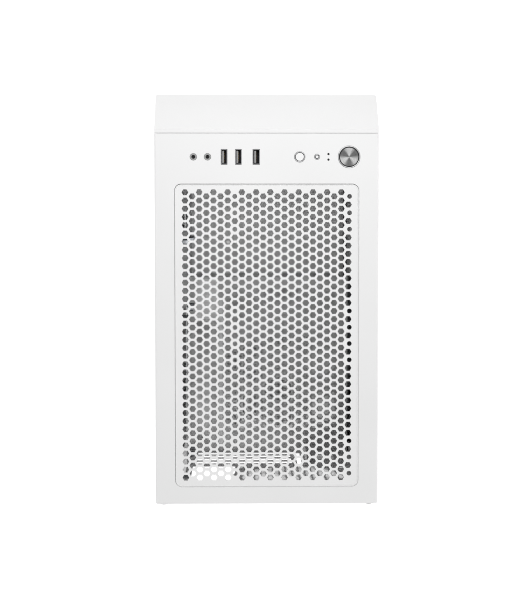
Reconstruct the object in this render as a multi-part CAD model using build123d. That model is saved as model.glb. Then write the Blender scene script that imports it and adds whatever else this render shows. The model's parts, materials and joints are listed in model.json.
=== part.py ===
"""Micro-ATX computer tower, bare chassis: sheet steel frame and covers, tinted glass side,
perforated top with the front sockets and buttons, two intake fans behind the front panel.

Millimetres.  X runs across the tower (glass side at -X), Y from front (-Y) to rear (+Y),
Z up from the floor.  The origin is under the middle of the tower, on the floor.
"""
from build123d import *
import math
import os

os.makedirs("parts", exist_ok=True)

# ------------------------------------------------------------------ driving sizes
WIDTH = 205.0                 # outside width
HEIGHT = 418.0                # floor to top face
FRONT_Y = -190.6              # front face of the front panel
SEAM_Y = -153.2               # joint between front panel and top panel
REAR_Y = 187.4                # rear edge of the top panel
SHEET = 0.8                   # steel sheet
FOOT_HEIGHT = 16.0            # floor to the underside of the chassis
HALF = WIDTH / 2
FLANGE_X = HALF - 5.3         # outer face of the chassis flanges
GAP = 0.3                     # clearance between parts that come apart

# top cover
TOP_LIP = 14.0                # depth of the folded edge of the top cover
TOP_BEND = 1.6                # outside radius of that fold
SEAM_BEND = 0.8               # outside radius of the fold at the front joint
FIELD_HALF_X = 84.75          # sunk field: half width
FIELD_Y = (-107.5, 172.0)     # sunk field: front and rear edge
FIELD_CORNER = 6.5

# hexagon mesh
HEX_PITCH = 7.5               # centre to centre
HEX_FLATS = 5.4               # across flats
MESH_COLUMNS = 24
MESH_ROWS = 36                # holes in an even column; odd columns have one less
MESH_FIRST_Y = -99.5          # centre of the front hole of an even column
COLUMN_STEP = HEX_PITCH * math.sqrt(3) / 2
FAN_SPACING = 105.0           # screw spacing of a 120 mm fan
FAN_SCREW_R = 2.2
FAN_COLUMN = 7                # mesh column that carries one line of fan screw holes
FAN_ROWS = (0.5, 2.5, 4.5, 14.5, 16.5, 18.5, 20.5, 30.5, 32.5, 34.5)

# front sockets and buttons, all on one line across the top cover
IO_Y = -131.7
JACK_X = (66.9, 54.0)
USB_X = (38.9, 25.9, 9.6)
USB_WIDTH = (6.1, 6.1, 6.7)
USB_LENGTH = 14.3
LIGHT_X = -30.1
RESET_X = -45.9
LED_X = -56.3
LED_OFFSET = 2.5
LED_R = 0.95
POWER_X = -75.2
POWER_CAP_R = 8.95
POWER_RING = (10.0, 9.45)       # outside and inside radius of each trim ring
LIGHT_RING = (4.9, 4.15)
RESET_RING = (2.5, 1.75)
RING_GAP = 0.1                  # between a trim ring and its hole in the cover
BOARD_Z = HEIGHT - 15.0       # underside of the socket board
BOARD_TOP = BOARD_Z + 1.6
JACK_BORE_R = 1.8

# rear wall
REAR_FACE = REAR_Y - 1.0      # outer face of the rear wall
IO_SHIELD_X = (29.6, 74.05)   # 44.45 wide
IO_SHIELD_Z = (216.25, 375.0)  # 158.75 tall
SLOT_PITCH = 20.32
SLOT_COUNT = 4
SLOT_TOP_Z = 192.5            # centre of the upper slot
SLOT_HEIGHT = 12.9
SLOT_X = (-31.1, 70.7)
REAR_FAN = (-28.9, 280.0)     # X and Z of the rear fan position
GRILLE_R = 57.5
PSU_CENTRE_X = -8.0
PSU_BOTTOM = FOOT_HEIGHT + 3.0

# inner sheets
TRAY_X = 80.0                 # face of the motherboard tray
SHROUD_TOP = 117.0
SHROUD_Y = (-10.9, 185.3)
SHROUD_X = (-96.2, 79.7)
SHROUD_WALL_X = -92.4
STANDOFF = 6.5

# fans
FAN_SIZE = 120.0
FAN_DEPTH = 25.0
FRONT_FAN_Z = (88.0, 210.0, 332.0)   # openings in the front frame; the upper two are fitted
FRAME_Y = SEAM_Y + 2.3               # rear face of the front frame sheet

# side panels
PANEL_Z = (20.0, HEIGHT - TOP_LIP - 0.4)
PANEL_Y = (SEAM_Y + 0.4, REAR_FACE)
GLASS = 3.2
REAR_FLANGE_X = HALF - 4.3     # outer face of the rear wall's folded edges
SCREW_X = HALF - 6.9
SCREW_Z = (44.0, 398.0)
SCREW_HEAD_R = 4.6
SCREW_END = 190.6
SCREW_HOLE_R = 1.75


# ------------------------------------------------------------------ helpers
def block(x, y, z):
    """Box between the (low, high) pairs x, y and z."""
    size = Box(x[1] - x[0], y[1] - y[0], z[1] - z[0])
    return Pos((x[0] + x[1]) / 2, (y[0] + y[1]) / 2, (z[0] + z[1]) / 2) * size


def post(x, y, z, radius):
    """Upright round bar at x, y between the heights in z."""
    return Pos(x, y, (z[0] + z[1]) / 2) * Cylinder(radius, z[1] - z[0])


def bar(x, z, y, radius):
    """Round bar along Y at x, z between the two y values."""
    return Pos(x, (y[0] + y[1]) / 2, z) * Rot(90, 0, 0) * Cylinder(radius, y[1] - y[0])


def level(z):
    """Plane whose sheet grows up; its drawing axes are X and Y."""
    return Plane(origin=(0, 0, z))


def upright(y):
    """Plane across the tower whose sheet grows towards the front; drawing axes X and Z."""
    return Plane(origin=(0, y, 0), x_dir=(1, 0, 0), z_dir=(0, -1, 0))


def lengthwise(x):
    """Plane along the tower whose sheet grows towards +X; drawing axes Y and Z."""
    return Plane(origin=(x, 0, 0), x_dir=(0, 1, 0), z_dir=(1, 0, 0))


def rect(a, b, radius=0.0):
    """Closed outline of a rectangle from (low, high) pairs, with round corners if asked."""
    width = a[1] - a[0]
    depth = b[1] - b[0]
    shape = RectangleRounded(width, depth, radius) if radius else Rectangle(width, depth)
    return (Pos((a[0] + a[1]) / 2, (b[0] + b[1]) / 2) * shape).wire()


def disc(a, b, radius):
    return (Pos(a, b) * Circle(radius)).wire()


def hexagon(a, b, flats=HEX_FLATS):
    """Hexagon with corners on the first drawing axis."""
    return (Pos(a, b) * RegularPolygon(flats / math.sqrt(3), 6)).wire()


def sheet(plane, outline, holes, thickness=SHEET):
    """Flat sheet with holes, thickened along the plane's normal."""
    face = plane.location * Face(outline, holes)
    return extrude(face, amount=thickness, dir=plane.z_dir)


def square(a, b, spacing):
    """The four corners of a square of that side about a, b."""
    h = spacing / 2
    return [(a + i * h, b + j * h) for i in (-1, 1) for j in (-1, 1)]


def hex_field(a, b, inside, pitch=HEX_PITCH, flats=HEX_FLATS):
    """Hexagon holes on a triangular lattice over the ranges a and b, where inside(x, y) is true."""
    step = pitch * math.sqrt(3) / 2
    columns = int((a[1] - a[0]) / step) + 1
    rows = int((b[1] - b[0]) / pitch) + 1
    start_a = (a[0] + a[1] - (columns - 1) * step) / 2
    start_b = (b[0] + b[1] - (rows - 1) * pitch) / 2
    points = [(start_a + i * step, start_b + (j + 0.5 * (i % 2)) * pitch)
              for i in range(columns) for j in range(rows)]
    return [hexagon(p, q, flats) for p, q in points if inside(p, q)]


def save(name, shape):
    solids = shape.solids() if not isinstance(shape, list) else [s for p in shape for s in p.solids()]
    body = solids[0] if len(solids) == 1 else Compound(children=[Solid(s.wrapped) for s in solids])
    export_step(body, f"parts/{name}.step")


# ------------------------------------------------------------------ top cover
def top_cover():
    """Folded steel cover, before it is divided into its flat and its edges."""
    outer = block((-HALF, HALF), (SEAM_Y, REAR_Y), (HEIGHT - TOP_LIP, HEIGHT))
    bends = outer.edges().filter_by(lambda e: e.center().Z > HEIGHT - 0.1)
    front = bends.sort_by(Axis.Y)[0]
    corners = outer.edges().filter_by(Axis.Z).filter_by(lambda e: e.center().Y > 0)
    outer = fillet([e for e in bends if e != front] + list(corners), TOP_BEND)
    across = outer.edges().filter_by(Axis.X).filter_by(lambda e: e.center().Z > HEIGHT - 0.1)
    outer = fillet(across.sort_by(Axis.Y)[0], SEAM_BEND)
    inner = block((-HALF + SHEET, HALF - SHEET), (SEAM_Y + SHEET, REAR_Y - SHEET),
                  (HEIGHT - TOP_LIP - 1, HEIGHT - SHEET))
    return outer - inner


FLAT_X = (-HALF + TOP_BEND, HALF - TOP_BEND)          # flat part of the cover, between its folds
FLAT_Y = (SEAM_Y + SEAM_BEND, REAR_Y - TOP_BEND)


def top_panel():
    """Flat of the top cover with the sunk field cut out and the socket and button holes."""
    shell = top_cover() & block(FLAT_X, FLAT_Y, (HEIGHT - SHEET, HEIGHT))
    holes = [rect((-FIELD_HALF_X, FIELD_HALF_X), FIELD_Y, FIELD_CORNER)]
    holes += [disc(x, IO_Y, 3.3) for x in JACK_X]
    holes += [rect((x - w / 2, x + w / 2), (IO_Y - USB_LENGTH / 2, IO_Y + USB_LENGTH / 2), 0.5)
              for x, w in zip(USB_X, USB_WIDTH)]
    for x, trim in ((LIGHT_X, LIGHT_RING), (RESET_X, RESET_RING), (POWER_X, POWER_RING)):
        holes.append(disc(x, IO_Y, trim[0] + RING_GAP))
    holes += [disc(LED_X, IO_Y + d, LED_R + 0.1) for d in (-LED_OFFSET, LED_OFFSET)]
    for hole in holes:
        shell -= extrude(level(HEIGHT - 2).location * Face(hole), amount=4, dir=(0, 0, 1))
    return shell


def top_edges():
    """The four folded edges of the top cover."""
    cover = top_cover()
    z = (HEIGHT - TOP_LIP, HEIGHT)
    beyond = ((-HALF, FLAT_X[0]), (FLAT_X[1], HALF))
    edges = [cover & block(x, (SEAM_Y, REAR_Y), z) for x in beyond]
    return edges + [cover & block(FLAT_X, y, z) for y in ((SEAM_Y, FLAT_Y[0]), (FLAT_Y[1], REAR_Y))]


def top_grille():
    """Perforated sheet of the sunk field: hexagons, with round holes for two 120 mm fans."""
    left = MESH_COLUMNS * COLUMN_STEP / 2 - COLUMN_STEP / 2
    holes = []
    for column in range(MESH_COLUMNS):
        x = left - column * COLUMN_STEP
        rows = MESH_ROWS - column % 2
        for row in range(rows):
            j = row + 0.5 * (column % 2)
            y = MESH_FIRST_Y + j * HEX_PITCH
            if column == FAN_COLUMN and j in FAN_ROWS:
                holes.append(disc(x, y, FAN_SCREW_R))
            elif column == MESH_COLUMNS - 1 and j in FAN_ROWS:
                holes.append(disc(fan_column_x() - FAN_SPACING, y, FAN_SCREW_R))
            else:
                holes.append(hexagon(x, y))
    margin = 3.2
    outline = rect((-FIELD_HALF_X - margin, FIELD_HALF_X + margin),
                   (FIELD_Y[0] - margin, FIELD_Y[1] + margin), FIELD_CORNER)
    return sheet(level(HEIGHT - 2 * SHEET), outline, holes)


def fan_column_x():
    return (MESH_COLUMNS / 2 - 0.5 - FAN_COLUMN) * COLUMN_STEP


# ------------------------------------------------------------------ sockets and buttons
def socket_housing():
    """Moulded tray under the top cover that carries the socket board."""
    wall = 1.5
    x = (POWER_X - 15.3, JACK_X[0] + 11.0)
    y = (IO_Y - 15.0, IO_Y + 15.0)
    z = (BOARD_Z - 6.0, HEIGHT - SHEET)
    shell = block(x, y, z) - block((x[0] + wall, x[1] - wall), (y[0] + wall, y[1] - wall),
                                   (z[0] + wall, z[1] + 1))
    for px in board_screw_x():
        shell += post(px, IO_Y, (z[0] + wall, BOARD_Z), 3.0)
        shell -= post(px, IO_Y, (z[0] + wall, BOARD_Z + 1), 1.1)
    return shell


def board_screw_x():
    return (-14.0, 73.6)


def socket_board():
    board = block((POWER_X - 11.0, JACK_X[0] + 9.0), (IO_Y - 10.5, IO_Y + 10.5), (BOARD_Z, BOARD_TOP))
    for px in board_screw_x():
        board -= post(px, IO_Y, (BOARD_Z - 1, BOARD_TOP + 1), 1.3)
    return board


def board_screws():
    """Two small pan-head screws that hold the socket board."""
    shapes = []
    for px in board_screw_x():
        shank = post(px, IO_Y, (BOARD_Z - 3.6, BOARD_TOP), 1.0)
        head = post(px, IO_Y, (BOARD_TOP, BOARD_TOP + 1.6), 2.2)
        head -= block((px - 1.5, px + 1.5), (IO_Y - 0.25, IO_Y + 0.25), (BOARD_TOP + 0.9, BOARD_TOP + 2))
        shapes.append(shank + head)
    return shapes


def audio_jack(x):
    """3.5 mm socket: round collar that shows in the cover, on a moulded block."""
    barrel = post(x, IO_Y, (BOARD_TOP, HEIGHT + 0.1), 3.15)
    base = block((x - 3.6, x + 3.6), (IO_Y - 6.0, IO_Y + 6.0), (BOARD_TOP, BOARD_TOP + 5.5))
    bore = post(x, IO_Y, (BOARD_TOP + 0.8, HEIGHT + 1), JACK_BORE_R)
    return fillet((barrel + base).edges().filter_by(GeomType.CIRCLE).sort_by(Axis.Z)[-1], 0.3) - bore


def usb_size(index):
    return USB_WIDTH[index] - 0.4, USB_LENGTH - 0.9


def usb_shell(index):
    """Folded metal shell of one socket with a closed bottom."""
    wall = 0.4
    width, length = usb_size(index)
    x = USB_X[index]
    outer = block((x - width / 2, x + width / 2), (IO_Y - length / 2, IO_Y + length / 2),
                  (BOARD_TOP, HEIGHT - 0.3))
    inner = block((x - width / 2 + wall, x + width / 2 - wall),
                  (IO_Y - length / 2 + wall, IO_Y + length / 2 - wall), (BOARD_TOP + 1.0, HEIGHT))
    return outer - inner


def usb_tongue(index):
    """Contact tongue, nearer one long side of the shell."""
    x = USB_X[index] + 1.0
    tongue = block((x - 0.95, x + 0.95), (IO_Y - 5.5, IO_Y + 5.5), (BOARD_TOP + 1.0, HEIGHT - 1.6))
    tips = tongue.edges().filter_by(Axis.Y).sort_by(Axis.Z)[-2:]
    return chamfer(tips, 0.4)


def ring(x, radii, depth, flange):
    """Trim ring set in the cover, a little proud of it, with a collar under the sheet."""
    outer, inner = radii
    top = HEIGHT + 0.35
    shape = post(x, IO_Y, (HEIGHT - depth, top), outer)
    shape += post(x, IO_Y, (HEIGHT - SHEET - 1.5, HEIGHT - SHEET), flange)
    shape -= post(x, IO_Y, (HEIGHT - depth - 1, top + 1), inner)
    rim = shape.edges().filter_by(GeomType.CIRCLE).filter_by(lambda e: e.center().Z > top - 0.05)
    return fillet(rim, 0.2)


def switch(x, size, stub):
    """Push switch on the board."""
    body = block((x - size / 2, x + size / 2), (IO_Y - size / 2, IO_Y + size / 2),
                 (BOARD_TOP, BOARD_TOP + 3.5))
    return body + post(x, IO_Y, (BOARD_TOP + 3.5, BOARD_TOP + 4.2), stub)


STEM_Z = BOARD_TOP + 5.7      # lower end of every button's stem at rest


def power_cap():
    """Turned metal disc on top of the power button."""
    cap = post(POWER_X, IO_Y, (HEIGHT - 1.8, HEIGHT + 0.1), POWER_CAP_R)
    return chamfer(cap.edges().filter_by(GeomType.CIRCLE).sort_by(Axis.Z)[-1], 0.3)


def power_plunger():
    plate = post(POWER_X, IO_Y, (HEIGHT - 4.2, HEIGHT - 1.8), POWER_CAP_R - 0.1)
    return plate + post(POWER_X, IO_Y, (STEM_Z, HEIGHT - 4.2), 3.0)


def small_button(x, radius, stem):
    """Small round button: cap, retaining collar below its ring, and stem."""
    cap = post(x, IO_Y, (HEIGHT - 5.6, HEIGHT + 0.05), radius)
    cap = fillet(cap.edges().filter_by(GeomType.CIRCLE).sort_by(Axis.Z)[-1], radius * 0.15)
    collar = post(x, IO_Y, (HEIGHT - 6.8, HEIGHT - 5.6), radius + 0.9)
    return cap + collar + post(x, IO_Y, (STEM_Z, HEIGHT - 6.8), stem)


def light_pipes():
    """Two clear rods that bring the board's lights to the surface."""
    shapes = []
    for d in (-LED_OFFSET, LED_OFFSET):
        rod = post(LED_X, IO_Y + d, (BOARD_TOP + 1.2, HEIGHT), LED_R)
        y = IO_Y + d
        foot = block((LED_X - 1.5, LED_X + 1.5), (y - 1.5, y + 1.5), (BOARD_TOP, BOARD_TOP + 1.2))
        shapes.append(rod + foot)
    return shapes


# ------------------------------------------------------------------ chassis sheets
def psu_holes():
    """Screw holes of an ATX power supply, 150 by 86 mm, one of them out of line."""
    left = PSU_CENTRE_X - 69.0
    right = PSU_CENTRE_X + 69.0
    low, high = PSU_BOTTOM + 16, PSU_BOTTOM + 80
    return [(left, low), (left, high), (right, low - 10), (right, high)]


def rear_panel():
    """Rear wall with the shield opening, card slots, fan opening and power supply opening."""
    holes = [rect(IO_SHIELD_X, IO_SHIELD_Z, 1.0)]
    for i in range(SLOT_COUNT):
        z = SLOT_TOP_Z - i * SLOT_PITCH
        holes.append(rect(SLOT_X, (z - SLOT_HEIGHT / 2, z + SLOT_HEIGHT / 2), 1.0))
    holes.append(rect((-41.7, -36.8), (128.0, 205.0), 1.0))
    holes += [rect((-78.0, -55.0), (z - 2.0, z + 2.0), 1.9) for z in (150.0, 158.0, 166.0)]
    holes.append(disc(*REAR_FAN, GRILLE_R))
    holes += [disc(x, z, FAN_SCREW_R) for x, z in square(*REAR_FAN, FAN_SPACING)]
    holes.append(rect((PSU_CENTRE_X - 66, PSU_CENTRE_X + 66), (PSU_BOTTOM + 5, PSU_BOTTOM + 81), 3.0))
    holes += [disc(x, z, 2.0) for x, z in psu_holes()]
    holes += [disc(side * SCREW_X, z, SCREW_HOLE_R) for side in (-1, 1) for z in SCREW_Z]
    outline = rect((-REAR_FLANGE_X, REAR_FLANGE_X), (FOOT_HEIGHT + SHEET, HEIGHT - TOP_LIP + 12))
    wall = sheet(upright(REAR_FACE), outline, holes)
    for side in (-1, 1):
        edge = sorted((side * REAR_FLANGE_X, side * (REAR_FLANGE_X - SHEET)))
        wall += block(edge, (REAR_FACE - 12, REAR_FACE - SHEET), (34.0, 396.0))
        notch = sorted((side * (RAIL_X + 0.5), side * HALF))
        for low, high in lip_heights():
            wall -= block(notch, (REAR_FACE - 2, REAR_FACE + 1), (low - 0.5, high + 0.5))
    return wall


def rear_grille():
    """Perforated disc behind the rear fan opening."""
    x0, z0 = REAR_FAN
    span = (-GRILLE_R, GRILLE_R)
    holes = hex_field((x0 + span[0], x0 + span[1]), (z0 + span[0], z0 + span[1]),
                      lambda x, z: math.hypot(x - x0, z - z0) < GRILLE_R - 4)
    return sheet(upright(REAR_FACE - SHEET), disc(x0, z0, GRILLE_R + 3), holes)


def slot_flange():
    """Folded angle inside the rear wall that takes the card screws, one hole for each slot."""
    x = -47.0
    flange = block((x, x + SHEET), (REAR_FACE - 14, REAR_FACE - SHEET), (124.0, 209.0))
    for i in range(SLOT_COUNT):
        z = SLOT_TOP_Z - i * SLOT_PITCH
        flange -= Pos(x, REAR_FACE - 7.5, z) * Rot(0, 90, 0) * Cylinder(1.6, 6)
    return flange


def motherboard_tray():
    """Upright sheet that carries the board, with the processor window and cable slots."""
    outline = rect((-118.0, SHROUD_Y[1]), (FOOT_HEIGHT + 2 * SHEET, HEIGHT - TOP_LIP + 10))
    holes = [rect((14.0, 152.0), (216.0, 344.0), 6.0)]
    holes += [rect((-82.0, -64.0), z, 6.0) for z in ((150.0, 230.0), (250.0, 340.0))]
    holes += [rect(y, (124.0, 138.0), 5.0) for y in ((-40.0, 10.0), (40.0, 120.0))]
    holes += [rect((30.0, 150.0), (385.0, 399.0), 5.0), rect((20.0, 80.0), (40.0, 100.0), 6.0)]
    return sheet(lengthwise(TRAY_X), outline, holes)


def standoff_places():
    """Micro-ATX hole pattern: Y and Z of nine posts; the upper rear one is 22.86 mm lower."""
    rear = REAR_FACE - SHEET - 1.5 - 10.16
    top = 365.6
    places = []
    for dy in (0.0, 154.94, 227.33):
        for dz in (0.0, 157.48, 203.2):
            drop = 22.86 if dy == 0.0 and dz == 0.0 else 0.0
            places.append((rear - dy, top - dz - drop))
    return places


def standoffs():
    """Hexagonal posts with an M3 hole, standing on the tray."""
    shapes = []
    for y, z in standoff_places():
        face = lengthwise(TRAY_X - STANDOFF).location * Face(hexagon(y, z, 5.0))
        body = extrude(face, amount=STANDOFF, dir=(1, 0, 0))
        hole = Pos(TRAY_X - STANDOFF, y, z) * Rot(0, 90, 0) * Cylinder(1.25, 10)
        shapes.append(body - hole)
    return shapes


VENT_X = (-58.0, 42.0)
VENT_Y = (62.0, 170.0)


def bottom_panel():
    """Floor sheet with folded sides, power supply vent, drive holes and the filter's rails."""
    holes = [rect(VENT_X, VENT_Y, 4.0)]
    holes += [disc(x, y, 1.9) for x in drive_x() for y in drive_y()]
    floor = sheet(level(FOOT_HEIGHT), rect((-FLANGE_X, FLANGE_X), (FRAME_Y - SHEET, REAR_FACE)), holes)
    for side in (-1, 1):
        edge = sorted((side * FLANGE_X, side * (FLANGE_X - SHEET)))
        floor += block(edge, (FRAME_Y + 13, REAR_FACE - 14), (FOOT_HEIGHT, 29.0))
    for web, lip in (((-64.0, -62.8), (-64.0, -59.6)), ((46.8, 48.0), (43.6, 48.0))):
        floor += block(web, RAIL_Y, (FOOT_HEIGHT - 6, FOOT_HEIGHT))
        floor += block(lip, RAIL_Y, (FOOT_HEIGHT - 6, FOOT_HEIGHT - 5))
    return floor


RAIL_Y = (54.0, 184.0)


def drive_x():
    return (-57.6, 37.65)


def drive_y():
    return (-92.2, -47.75)


def bottom_grille():
    """Perforated sheet over the power supply vent."""
    holes = hex_field((VENT_X[0] + 4, VENT_X[1] - 4), (VENT_Y[0] + 4, VENT_Y[1] - 6), lambda x, y: True)
    outline = rect((VENT_X[0] - 4, VENT_X[1] + 4), (VENT_Y[0] - 4, VENT_Y[1] + 4), 3.0)
    return sheet(level(FOOT_HEIGHT + SHEET), outline, holes)


SHROUD_FIELD_X = (-83.7, 39.6)
SHROUD_FIELD_Y = (-2.6, 164.0)


def psu_shroud():
    """Cover over the power supply: top, side and front walls, with a cable slot beside the tray."""
    field = rect(SHROUD_FIELD_X, SHROUD_FIELD_Y, 4.0)
    cable_slot = rect((57.7, 72.2), (38.5, 178.0), 5.0)
    roof = sheet(level(SHROUD_TOP - SHEET), rect(SHROUD_X, SHROUD_Y), [field, cable_slot])
    wall = block((SHROUD_WALL_X, SHROUD_WALL_X + SHEET), SHROUD_Y, (FOOT_HEIGHT + SHEET, SHROUD_TOP))
    outline = rect((SHROUD_WALL_X, SHROUD_X[1]), (FOOT_HEIGHT + SHEET, SHROUD_TOP))
    front = sheet(upright(SHROUD_Y[0] + SHEET), outline, [rect((-20.0, 60.0), (40.0, 95.0), 6.0)])
    pad = block((49.5, 71.9), (-8.5, 36.5), (SHROUD_TOP, SHROUD_TOP + 1.4))
    pad = fillet(pad.edges().filter_by(Axis.Z), 3.0)
    rib = block((42.0, 49.5), (15.4, 177.6), (SHROUD_TOP, SHROUD_TOP + 1.8))
    rib = chamfer(rib.edges().filter_by(Axis.Y).sort_by(Axis.Z)[-2:], 1.5)
    return roof + wall + front + pad + rib


def shroud_grille():
    """Perforated sheet under the opening in the shroud's roof."""
    holes = hex_field((SHROUD_FIELD_X[0] + 3.5, SHROUD_FIELD_X[1] - 3.5),
                      (SHROUD_FIELD_Y[0] + 3.5, SHROUD_FIELD_Y[1] - 7.2), lambda x, y: True, 7.8, 5.4)
    outline = rect((SHROUD_FIELD_X[0] - 2, SHROUD_FIELD_X[1] + 2),
                   (SHROUD_FIELD_Y[0] - 2, SHROUD_FIELD_Y[1] + 2), 4.0)
    return sheet(level(SHROUD_TOP - 2 * SHEET), outline, holes)


CLIP_X = 90.0
CLIP_Z = (60.0, 210.0, 360.0)


def front_frame():
    """Front wall of the chassis with three fan openings and the clip holes."""
    holes = []
    for z in FRONT_FAN_Z:
        holes.append(disc(0, z, 57.0))
        holes += [disc(x, w, FAN_SCREW_R) for x, w in square(0, z, FAN_SPACING)]
    holes += [disc(side * CLIP_X, z, 3.5) for side in (-1, 1) for z in CLIP_Z]
    outline = rect((-FLANGE_X, FLANGE_X), (FOOT_HEIGHT + SHEET, HEIGHT - TOP_LIP + 10))
    wall = sheet(upright(FRAME_Y), outline, holes)
    for side in (-1, 1):
        edge = sorted((side * FLANGE_X, side * (FLANGE_X - SHEET)))
        wall += block(edge, (FRAME_Y, FRAME_Y + 12), (FOOT_HEIGHT + SHEET, 398.0))
    return wall


RAIL_SPAN = (FRAME_Y + 14, REAR_FACE - 14)
RAIL_X = 93.0
TOP_SHELF = HEIGHT - TOP_LIP - 6.6     # underside of the upper rails' shelves
LOW_SHELF = 29.4


def panel_rails():
    """Four angles along the chassis that the lips of the side panels slide on."""
    rails = []
    for side in (-1, 1):
        for z in (TOP_SHELF, LOW_SHELF):
            shelf = block(sorted((side * RAIL_X, side * (RAIL_X + 4.0))), RAIL_SPAN, (z, z + SHEET))
            web = block(sorted((side * RAIL_X, side * (RAIL_X + SHEET))), RAIL_SPAN, (z - 8.0, z))
            rails.append(shelf + web)
    return rails


def lip_heights():
    """Underside and top of the side panels' two lips, each a little above its rail."""
    return [(z + 2 * SHEET, z + 3 * SHEET) for z in (TOP_SHELF, LOW_SHELF)]


def panel_lips(side, skin_x):
    """Two lips folded in from a side panel's skin."""
    x = sorted((side * skin_x, side * (RAIL_X + 1.0)))
    return [block(x, RAIL_SPAN, z) for z in lip_heights()]


def rivets():
    """Domed rivet heads on the rear wall."""
    shapes = []
    for x in (-84.0, 84.0):
        for z in (24.0, 112.0, 208.0, 352.0):
            dome = Cone(2.4, 1.4, 0.9, align=(Align.CENTER, Align.CENTER, Align.MIN))
            shapes.append(Pos(x, REAR_FACE, z) * Rot(-90, 0, 0) * dome)
    return shapes


def drive_plate(z):
    """Flat bracket for a small drive behind the motherboard tray, on four short legs."""
    y = (-30.0, 72.0)
    x0 = TRAY_X + SHEET
    plate = block((x0 + 12.0, x0 + 12.8), y, z)
    for ly in (y[0], y[1] - SHEET):
        plate += block((x0, x0 + 12.0), (ly, ly + SHEET), (z[0] + 5, z[1] - 5))
    for py, pz in [(y0, z0) for y0 in (-20.0, 56.6) for z0 in (z[0] + 4.14, z[1] - 4.14)]:
        plate -= Pos(x0 + 12.4, py, pz) * Rot(0, 90, 0) * Cylinder(1.6, 3)
    return plate


# ------------------------------------------------------------------ feet
FOOT_PLACES = [(x, y) for x in (-82.0, 82.0) for y in (-128.0, 152.0)]


def foot(x, y):
    """Moulded foot with a pocket for its rubber pad."""
    height = FOOT_HEIGHT - 1.5
    body = Pos(x, y, 1.5 + height / 2) * Cone(13.0, 15.0, height)
    return body - post(x, y, (0, 3.0), 11.2)


def foot_pads():
    return [fillet(post(x, y, (0, 3.0), 11.0).edges().sort_by(Axis.Z)[0], 0.5) for x, y in FOOT_PLACES]


# ------------------------------------------------------------------ front panel
def front_shell():
    """Moulded front cover with a sloping top and intake slots down both sides."""
    rear = SEAM_Y - GAP
    ridge = SEAM_Y - 3.7
    slope_foot = HEIGHT - 30.7
    base = 10.0
    wall = 2.5
    outer = Polyline((rear, HEIGHT), (ridge, HEIGHT), (FRONT_Y, slope_foot), (FRONT_Y, base),
                     (rear, base), close=True)
    solid = extrude(lengthwise(-HALF).location * Face(outer.wire()), amount=WIDTH, dir=(1, 0, 0))
    nose = solid.edges().filter_by(lambda e: abs(e.center().Y - FRONT_Y) < 0.1)
    solid = fillet(nose, 2.0)
    solid = fillet(solid.edges().filter_by(Axis.X).filter_by(lambda e: abs(e.center().Y - ridge) < 0.2), 1.2)
    inner = Polyline((rear + 5, HEIGHT - wall), (ridge + 1.0, HEIGHT - wall),
                     (FRONT_Y + wall, slope_foot - 1.1), (FRONT_Y + wall, base + wall),
                     (rear + 5, base + wall), close=True)
    hollow = lengthwise(-HALF + wall).location * Face(inner.wire())
    solid -= extrude(hollow, amount=WIDTH - 2 * wall, dir=(1, 0, 0))
    slots = [rect((-183.0, -161.0), (z, z + 5.0), 2.4) for z in range(34, 370, 12)]
    side = lengthwise(-HALF - 1).location
    return solid - [extrude(side * Face(s), amount=WIDTH + 2, dir=(1, 0, 0)) for s in slots]


FILTER_Y = (SEAM_Y - 5.0, SEAM_Y - 2.0)
FILTER_X = (-84.0, 84.0)
FILTER_Z = ((30, 146), (151, 268), (273, 388))     # the three windows


def front_filter_frame():
    """Moulded frame that snaps into the front cover and holds the front mesh."""
    outer = block((-99.7, 99.7), FILTER_Y, (22.0, 396.0))
    return outer - [block(FILTER_X, (FILTER_Y[0] - 1, FILTER_Y[1] + 1), z) for z in FILTER_Z]


def front_filter_mesh():
    """Fine dust screens in the three windows of the frame."""
    y = (FILTER_Y[0] + 1.2, FILTER_Y[0] + 1.8)
    return [block(FILTER_X, y, z) for z in FILTER_Z]


def front_clips():
    """Six push studs on the front cover."""
    shapes = []
    for x in (-CLIP_X, CLIP_X):
        for z in CLIP_Z:
            stud = bar(x, z, (FILTER_Y[1], FRAME_Y + 4.5), 3.0)
            stud -= block((x - 0.6, x + 0.6), (FRAME_Y - 2, FRAME_Y + 6), (z - 4, z + 4))
            shapes.append(stud)
    return shapes


# ------------------------------------------------------------------ fans
def fan_frame(z):
    """Square fan frame with round duct, four struts and a bearing seat."""
    y = (FRAME_Y, FRAME_Y + FAN_DEPTH)
    half = FAN_SIZE / 2
    outer = block((-half, half), y, (z - half, z + half))
    outer = fillet(outer.edges().filter_by(Axis.Y), 6.0)
    frame = outer - bar(0, z, (y[0] - 1, y[1] + 1), 57.5)
    struts = [Pos(0, y[1] - 1.5, z) * Rot(0, a, 0) * Box(118.0, 3.0, 4.0) for a in (45.0, 135.0)]
    web = struts[0] + struts[1] + bar(0, z, (y[1] - 3, y[1]), 20.0)
    frame += web & bar(0, z, (y[0], y[1]), 58.0)
    frame -= [bar(x, w, (y[0] - 1, y[1] + 1), FAN_SCREW_R) for x, w in square(0, z, FAN_SPACING)]
    return frame - bar(0, z, (y[1] - 4, y[1] + 1), 1.55)


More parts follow.
